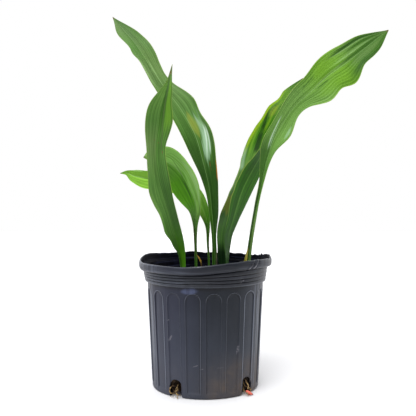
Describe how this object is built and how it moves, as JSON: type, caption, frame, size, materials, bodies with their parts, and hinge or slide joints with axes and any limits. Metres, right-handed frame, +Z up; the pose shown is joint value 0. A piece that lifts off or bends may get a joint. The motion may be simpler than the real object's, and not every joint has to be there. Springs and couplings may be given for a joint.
{
  "type": "potted cast iron plant",
  "caption": "Cast iron plant with long stalked strap leaves standing in soil in a round black fluted nursery pot with a rolled rim and drain holes.",
  "frame": {"origin": "centre of the pot's underside, on the surface that the pot stands on", "axes": "+Z up along the pot's axis, -Y towards the side that the leaves face, +X to the right seen from there"},
  "size_m": [0.5275, 0.254, 0.7233],
  "materials": {
    "pot_plastic": "satin moulded black plastic, scuffed and dusty near the foot",
    "soil_mix": "crumbly dark bark potting mix",
    "leaf_green": "satin ribbed leaf",
    "leaf_pale": "satin ribbed young leaf",
    "shoot_green": "satin rolled shoot",
    "bract_dry": "dry papery bract",
    "root_tan": "dry tan root"
  },
  "bodies": {
    "root": {"pot": "pot_plastic", "soil": "soil_mix", "leaf_tall": "leaf_green", "leaf_front": "leaf_green", "leaf_folded": "leaf_green", "leaf_broad": "leaf_green", "leaf_arched": "leaf_pale", "leaf_low": "leaf_pale", "shoot_young": "shoot_green", "bract_amber": "bract_dry", "bract_grey": "bract_dry", "bract_straw": "bract_dry", "root_left": "root_tan", "root_right": "root_tan"}
  },
  "joints": []
}
